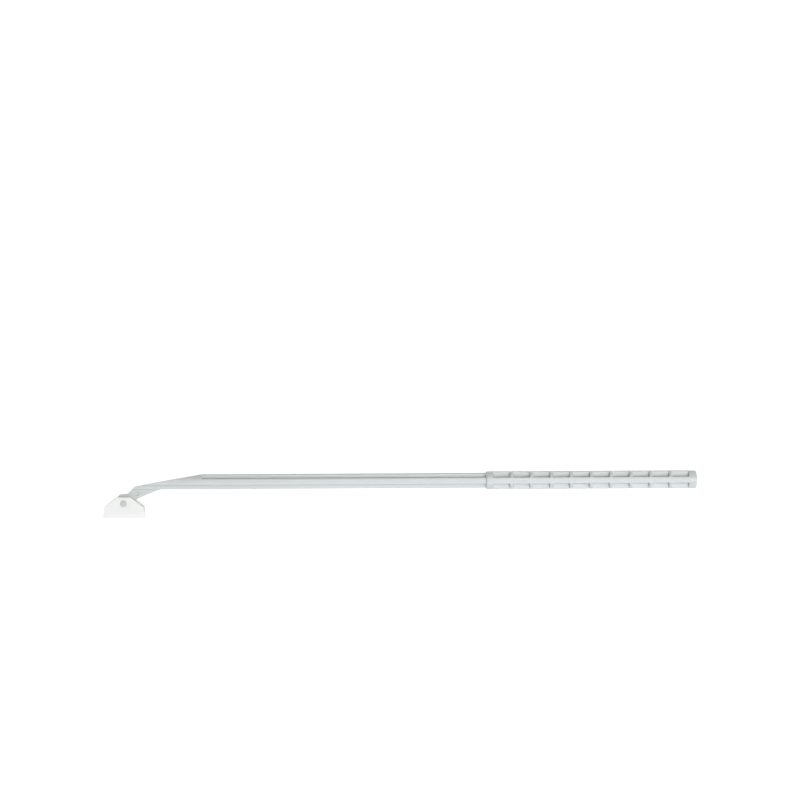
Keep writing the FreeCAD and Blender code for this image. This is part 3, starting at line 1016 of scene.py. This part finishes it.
    def build(self, place: "Place", finish: "BladePlastic") -> list[bpy.types.Object]:
        """Makes the blade, bored, dressed and riding on the blade's body.

        Args:
            place: Where the axes stand in the frame.
            finish: The blade's finish.

        Returns:
            The piece.
        """
        skin = Skin()
        loops = skin.tube(whole_loops(self.half_loops()))
        skin.fan(loops[0], first=True)
        skin.fan(loops[-1], first=False)
        blade = mesh_object("blade_moulding", skin, place.pivot)
        bore(blade, mesh_object("pivot_hole", self.hole_skin(), place.pivot))
        # The edge tone sets the blade plastic's painted shade in corners.
        store_edge_tone(blade.data, place.middle, 0, 1)
        blade.data.materials.append(finish.material(place))
        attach(blade, "blade")
        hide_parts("blade")
        return [blade]


def bore(piece: bpy.types.Object, hole: bpy.types.Object) -> None:
    """Takes a hole's shape out of a piece for good, and removes the hole's object.

    Args:
        piece: The piece, whose mesh is replaced.
        hole: A closed shape.
    """
    cut = piece.modifiers.new("bore", "BOOLEAN")
    cut.operation, cut.solver, cut.object = "DIFFERENCE", "EXACT", hole
    bored = piece.evaluated_get(bpy.context.evaluated_depsgraph_get())
    mesh = bpy.data.meshes.new_from_object(bored)
    piece.modifiers.clear()
    piece.data = mesh
    mesh.name = piece.name
    mesh.set_sharp_from_angle(angle=CRISP)
    bpy.data.objects.remove(hole)


# ---------------------------------------------------------------- finishes


BUMP_STRENGTH = 0.2
BUMP_DEPTH = 0.03 * MM
EVEN = (1, 1, 1)  # the same along every axis, or in every colour


class Maths(Enum):
    """The Math node's operations that expressions use."""

    ADD = "ADD"
    SUBTRACT = "SUBTRACT"
    MULTIPLY = "MULTIPLY"
    DIVIDE = "DIVIDE"
    ABSOLUTE = "ABSOLUTE"
    MAXIMUM = "MAXIMUM"
    MINIMUM = "MINIMUM"


class Value:
    """A shader socket that takes arithmetic, so that node maths reads as an expression."""

    def __init__(self, graph: "Graph", socket: bpy.types.NodeSocket) -> None:
        """Wraps a socket of a graph's node."""
        self.graph = graph
        self.socket = socket

    def __add__(self, other: Any) -> "Value":
        """Self plus other."""
        return self.graph.maths(Maths.ADD, self, other)

    def __radd__(self, other: Any) -> "Value":
        """Other plus self."""
        return self.graph.maths(Maths.ADD, other, self)

    def __sub__(self, other: Any) -> "Value":
        """Self less other."""
        return self.graph.maths(Maths.SUBTRACT, self, other)

    def __rsub__(self, other: Any) -> "Value":
        """Other less self."""
        return self.graph.maths(Maths.SUBTRACT, other, self)

    def __mul__(self, other: Any) -> "Value":
        """Self times other."""
        return self.graph.maths(Maths.MULTIPLY, self, other)

    def __rmul__(self, other: Any) -> "Value":
        """Other times self."""
        return self.graph.maths(Maths.MULTIPLY, other, self)

    def __truediv__(self, other: Any) -> "Value":
        """Self over other."""
        return self.graph.maths(Maths.DIVIDE, self, other)

    def __abs__(self) -> "Value":
        """Self without its sign."""
        return self.graph.maths(Maths.ABSOLUTE, self)

    def held(self) -> "Value":
        """Self held between 0 and 1."""
        return self.graph.maths(Maths.MINIMUM, self.graph.maths(Maths.MAXIMUM, self, 0), 1)


class Graph:
    """A material's or a world's node tree, emptied and ready to be filled."""

    def __init__(self, tree: bpy.types.NodeTree) -> None:
        """Takes over a node tree."""
        self.tree = tree
        self.tree.nodes.clear()

    def node(
        self, kind: str, settings: dict[str, Any], sockets: dict[str | int, Any]
    ) -> bpy.types.Node:
        """Adds a node.

        Args:
            kind: The node's type, without the words that begin every shader node's type.
            settings: Attributes, which are set first.
            sockets: Values of inputs or links to them, by name or number.

        Returns:
            The node.
        """
        made = self.tree.nodes.new("ShaderNode" + kind)
        for name, setting in settings.items():
            setattr(made, name, setting)
        for name, given in sockets.items():
            if isinstance(given, Value):
                given = given.socket
            if isinstance(given, bpy.types.NodeSocket):
                self.tree.links.new(given, made.inputs[name])
            else:
                made.inputs[name].default_value = given
        return made

    def value(self, kind: str, output: str, settings: dict, sockets: dict) -> Value:
        """Adds a node and wraps one of its outputs."""
        return Value(self, self.node(kind, settings, sockets).outputs[output])

    def where(self, kind: str) -> Value:
        """Coordinates of a kind."""
        return self.value("TexCoord", kind, {}, {})

    def maths(self, operation: Maths, *terms: Any) -> Value:
        """Adds a Math node for an operation on values or numbers."""
        settings = {"operation": operation.value}
        return self.value("Math", "Value", settings, dict(enumerate(terms)))

    def noise(self, where: Value, stretch: Sequence[float], scale: float, detail: float) -> Value:
        """Cloudy values about one half, stretched along the axes.

        Args:
            where: Coordinates in metres.
            stretch: How much each axis counts.
            scale: Features in a metre.
            detail: Octaves.

        Returns:
            The values.
        """
        mapped = self.value("Mapping", "Vector", {}, {"Vector": where, "Scale": stretch})
        sockets = {"Vector": mapped, "Scale": scale, "Detail": detail}
        return self.value("TexNoise", "Fac", {}, sockets)

    def blend(
        self, factor: Value, one: Value | Sequence[float], other: Value | Sequence[float]
    ) -> Value:
        """A colour between two, mixed by a factor.

        Args:
            factor: 0 for the one and 1 for the other.
            one: The one colour.
            other: The other colour.

        Returns:
            The colour.
        """
        made = self.node("Mix", {"data_type": "RGBA"}, {"Factor": factor})
        ends = [socket for socket in made.inputs if socket.type == "RGBA"]
        for end, colour in zip(ends, (one, other)):
            if isinstance(colour, Value):
                self.tree.links.new(colour.socket, end)
            else:
                end.default_value = (*colour, 1)
        return Value(self, next(s for s in made.outputs if s.type == "RGBA"))

    def painted_shade_and_highlight(self, colour: Value, corner: float, edge: float) -> Value:
        """Darkens a colour in a piece's corners and lightens it on its edges.

        Args:
            colour: The colour on open faces.
            corner: How strongly corners are darkened by painted shade.
            edge: How strongly edges are lightened by a painted highlight.

        Returns:
            The colour.
        """
        tone = self.value("Attribute", "Fac", {"attribute_name": "edge_tone"}, {})
        depth = self.maths(Maths.MAXIMUM, tone, 0)
        height = self.maths(Maths.MAXIMUM, tone * -1, 0)
        # Painted shade darkens the colour in corners and a painted highlight lightens it on
        # edges.
        share = 1 - (depth * corner).held() + (height * edge).held()
        made = self.node("VectorMath", {"operation": "SCALE"}, {0: colour, "Scale": share})
        return Value(self, made.outputs["Vector"])

    def bump(self, height: Value) -> Value:
        """A normal tilted by a height that varies over the surface."""
        sockets = {"Height": height, "Strength": BUMP_STRENGTH, "Distance": BUMP_DEPTH}
        return self.value("Bump", "Normal", {}, sockets)

    def plastic(self, sockets: dict[str, Any]) -> None:
        """Ends the tree with the shader that both plastics use."""
        self.end("Material", self.node("BsdfPrincipled", {}, sockets).outputs["BSDF"])

    def end(self, kind: str, socket: bpy.types.NodeSocket) -> None:
        """Links a shader to the output of a material or a world."""
        self.node("Output" + kind, {}, {"Surface": socket})


def new_graph(name: str) -> tuple[bpy.types.Material, Graph]:
    """Makes a material with an empty node tree.

    Args:
        name: The material's name.

    Returns:
        The material and its graph.
    """
    material = bpy.data.materials.new(name)
    material.use_nodes = True
    return material, Graph(material.node_tree)


@dataclass(frozen=True)
class HandlePlastic:
    """Satin grey moulded plastic: faint flow marks, fine grain and a parting line."""

    colour: tuple[float, float, float] = (0.65, 0.677, 0.688)
    flow_colour: tuple[float, float, float] = (0.635, 0.667, 0.679)
    roughness: float = 0.3
    roughness_range: float = 0.1
    grain: float = 2600.0
    grain_stretch: tuple[float, float, float] = (0.6, 1, 1)
    grain_height: float = 0.25
    flow: float = 240.0
    flow_stretch: tuple[float, float, float] = (0.12, 1, 1)
    flow_height: float = 0.1
    line_half: float = 0.05 * MM
    line_height: float = 0.6
    # Amounts of painted shade in corners and of a painted highlight on edges, set by the edge
    # tone.
    corner_shade: float = 4.2
    painted_edge_highlight: float = 0.15
    bending_of_light: float = 1.53

    def material(self, place: "Place") -> bpy.types.Material:
        """Builds the plastic.

        Args:
            place: Where the mould's parting plane stands.

        Returns:
            The material.
        """
        material, graph = new_graph("handle_plastic")
        where = graph.where("Object")
        flow = graph.noise(where, self.flow_stretch, self.flow, 2)
        grain = graph.noise(where, self.grain_stretch, self.grain, 3)
        height = graph.value("SeparateXYZ", "Z", {}, {"Vector": where})
        line = (1 - abs(height - place.middle) / self.line_half).held()
        plain = graph.blend(flow.held(), self.colour, self.flow_colour)
        # Painted shade in the corners and a painted highlight on the edges.
        colour = graph.painted_shade_and_highlight(plain, self.corner_shade, self.painted_edge_highlight)
        rough = self.roughness + (flow + grain - 1) * self.roughness_range
        relief = grain * self.grain_height + flow * self.flow_height + line * self.line_height
        graph.plastic({
            "Base Color": colour, "Roughness": rough, "Normal": graph.bump(relief),
            "IOR": self.bending_of_light,
        })
        return material


@dataclass(frozen=True)
class BladePlastic:
    """Soft white matte plastic with a fine grain and a slight waxy glow."""

    colour: tuple[float, float, float] = (0.945, 0.947, 0.945)
    thin_colour: tuple[float, float, float] = (0.932, 0.935, 0.936)
    roughness: float = 0.5
    roughness_range: float = 0.12
    grain: float = 3200.0
    cloud: float = 420.0
    cloud_height: float = 0.5
    # Amount of painted shade in corners, set by the edge tone; edges get no painted highlight.
    corner_shade: float = 0.25
    waxiness: float = 0.3
    waxy_depth: float = 0.8 * MM
    bending_of_light: float = 1.5

    def material(self, place: "Place") -> bpy.types.Material:
        """Builds the plastic.

        Args:
            place: Where the swivel stands, which the cloudiness is laid round.

        Returns:
            The material.
        """
        material, graph = new_graph("blade_plastic")
        where = graph.where("Object")
        centred = graph.value("Mapping", "Vector", {"vector_type": "TEXTURE"}, {
            "Vector": where, "Location": place.pivot,
        })
        cloud = graph.noise(centred, EVEN, self.cloud, 2)
        grain = graph.noise(centred, EVEN, self.grain, 3)
        plain = graph.blend(cloud.held(), self.colour, self.thin_colour)
        # Painted shade in the corners, and no painted highlight on the edges.
        colour = graph.painted_shade_and_highlight(plain, self.corner_shade, 0.0)
        rough = self.roughness + (grain - 0.5) * self.roughness_range
        graph.plastic({
            "Base Color": colour, "Roughness": rough, "IOR": self.bending_of_light,
            "Subsurface Weight": self.waxiness, "Subsurface Radius": EVEN,
            "Subsurface Scale": self.waxy_depth,
            "Normal": graph.bump(grain + cloud * self.cloud_height),
        })
        return material


@dataclass(frozen=True)
class Paper:
    """The white surface that the scraper lies on, which stays white out to the horizon."""

    colour: tuple[float, float, float] = (0.76, 0.76, 0.76)
    seen_glow: float = 0.68
    reflected_glow: float = 0.2
    far_glow: float = 1.0
    fade_start: float = 0.3
    fade_end: float = 0.8

    def material(self) -> bpy.types.Material:
        """Builds the surface.

        Returns:
            The material, whose glow shows in direct sight and reflections only, and grows
            away from the middle, where the lamps no longer reach.
        """
        material, graph = new_graph("paper")
        where = graph.where("Object")
        away = graph.value("VectorMath", "Value", {"operation": "LENGTH"}, {0: where})
        share = ((away - self.fade_start) / (self.fade_end - self.fade_start)).held()
        path = graph.node("LightPath", {}, {}).outputs
        seen = Value(graph, path["Is Camera Ray"])
        mirrored = Value(graph, path["Is Glossy Ray"]) + Value(graph, path["Is Transmission Ray"])
        near = seen * self.seen_glow + mirrored * self.reflected_glow
        far = (seen + mirrored) * self.far_glow
        glow = near + (far - near) * share
        light = graph.node("Emission", {}, {"Color": (*EVEN, 1), "Strength": glow})
        matte = graph.node("BsdfDiffuse", {}, {"Color": (*self.colour, 1)})
        both = {0: light.outputs["Emission"], 1: matte.outputs["BSDF"]}
        graph.end("Material", graph.node("AddShader", {}, both).outputs["Shader"])
        return material


# ---------------------------------------------------------------- stage


@dataclass(frozen=True)
class Softbox:
    """A square lamp that faces the middle of the scraper."""

    name: str
    place: tuple[float, float, float]
    size: float
    power: float
    colour: tuple[float, float, float]

    def hang(self) -> None:
        """Makes the lamp."""
        light = bpy.data.lights.new(self.name, "AREA")
        light.shape, light.size = "SQUARE", self.size
        light.energy, light.color = self.power, self.colour
        hung = linked(self.name, light)
        hung.location = self.place
        hung.rotation_euler = (-Vector(self.place)).to_track_quat("-Z", "Y").to_euler()


@dataclass(frozen=True)
class Studio:
    """Soft lamps round a scraper that lies in a pale room."""

    lamps: tuple[Softbox, ...] = (
        Softbox("lip_side", (0.0, -0.42, 0.9), 0.5, 2.35, (0.95, 0.97, 1.0)),
        Softbox("grip_side", (0.45, 0.0, 0.9), 0.5, 2.45, (0.95, 0.95, 1.0)),
        Softbox("neck_side", (0.0, 0.22, 0.97), 0.4, 2.15, (1.0, 0.975, 0.93)),
        Softbox("low_grip_end", (0.88, 0.0, 0.45), 0.5, 1.8, (0.95, 0.97, 1.0)),
        Softbox("low_lip_side", (0.0, -0.85, 0.5), 0.5, 1.15, (0.95, 0.975, 1.0)),
    )
    lip_side_room: tuple[float, float, float] = (0.345, 0.36, 0.369)
    neck_side_room: tuple[float, float, float] = (0.2, 0.186, 0.125)
    floor_half: float = 6.0
    floor_lines: int = 9

    def room(self) -> None:
        """Fills the room with a soft light, brighter on the lip's side and white in sight."""
        world = bpy.data.worlds.new("room")
        world.use_nodes = True
        bpy.context.scene.world = world
        graph = Graph(world.node_tree)
        seen = Value(graph, graph.node("LightPath", {}, {}).outputs["Is Camera Ray"])
        way = graph.where("Generated")
        across = graph.value("SeparateXYZ", "Y", {}, {"Vector": way})
        soft = graph.blend((across + 1) / 2, self.lip_side_room, self.neck_side_room)
        sockets = {"Color": graph.blend(seen, soft, EVEN), "Strength": 1.0}
        graph.end("World", graph.node("Background", {}, sockets).outputs["Background"])

    def floor(self, level: float) -> None:
        """Lays the floor.

        Args:
            level: Its height in the frame, in metres.
        """
        line = np.linspace(-self.floor_half, self.floor_half, self.floor_lines)
        points = placed(line[:, None], line, level).reshape(-1, 3)
        n = np.arange(len(points)).reshape(len(line), -1)
        faces = np.stack([n[:-1, :-1], n[1:, :-1], n[1:, 1:], n[:-1, 1:]], axis=-1)
        mesh = bpy.data.meshes.new("floor")
        mesh.from_pydata(points, [], faces.reshape(-1, 4).tolist())
        mesh.materials.append(Paper().material())
        laid = linked("floor", mesh)
        laid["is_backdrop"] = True

    def build(self, level: float) -> None:
        """Sets up lamps, room and floor.

        Args:
            level: The floor's height in the frame, in metres.
        """
        for lamp in self.lamps:
            lamp.hang()
        self.room()
        self.floor(level)


@dataclass(frozen=True)
class Eye:
    """The camera, straight above the scraper and looking down."""

    lens: float = 66.2
    sensor: float = 36.0
    sight: tuple[float, float] = (0.01, 30.0)
    height: float = 0.62
    along: float = 0.5 * MM
    across: float = 39.78 * MM
    roll: float = math.radians(-0.3)

    def build(self, middle: float) -> None:
        """Makes the camera.

        Args:
            middle: Height of the scraper's middle plane in the frame, in metres.
        """
        camera = bpy.data.cameras.new("eye")
        camera.lens, camera.sensor_width = self.lens, self.sensor
        camera.clip_start, camera.clip_end = self.sight
        held = linked("eye", camera)
        held.location = (self.along, self.across, middle + self.height)
        held.rotation_euler = (0, 0, self.roll)
        bpy.context.scene.camera = held


# ---------------------------------------------------------------- whole scene


@dataclass(frozen=True)
class Place:
    """Where the scraper's axes stand in the frame, in metres."""

    handle: Vector
    pivot: Vector
    middle: float

    @classmethod
    def of(cls, frame: dict[str, Any], axis_drop: float) -> "Place":
        """Reads the places from the frame.

        Args:
            axis_drop: How far the handle's axis is below its box's top, in millimetres.

        Returns:
            The places.
        """
        low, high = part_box("handle")
        pivot = Vector(frame["record"]["behaviour"]["joints"][0]["pos_m"])
        axis = high.y - axis_drop * MM
        middle = (low.z + high.z) / 2
        return cls(Vector((pivot.x, axis, middle)), pivot, middle)


def main() -> None:
    """Loads the frame, builds every piece round it and sets the stage."""
    logging.basicConfig(level=logging.INFO, format="%(message)s")
    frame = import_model()
    cad_box = [list(corner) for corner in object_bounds()]
    bpy.context.scene.view_settings.view_transform = "Standard"
    handle = HandleMoulding()
    place = Place.of(frame, handle.axis_drop)
    pieces = handle.build(place, HandlePlastic()) + Blade().build(place, BladePlastic())
    for piece in pieces:
        LOG.info("%s: %d faces", piece.name, len(piece.data.polygons))
    Studio().build(cad_box[0][2])
    Eye().build(place.middle)


if __name__ == "__main__":
    main()
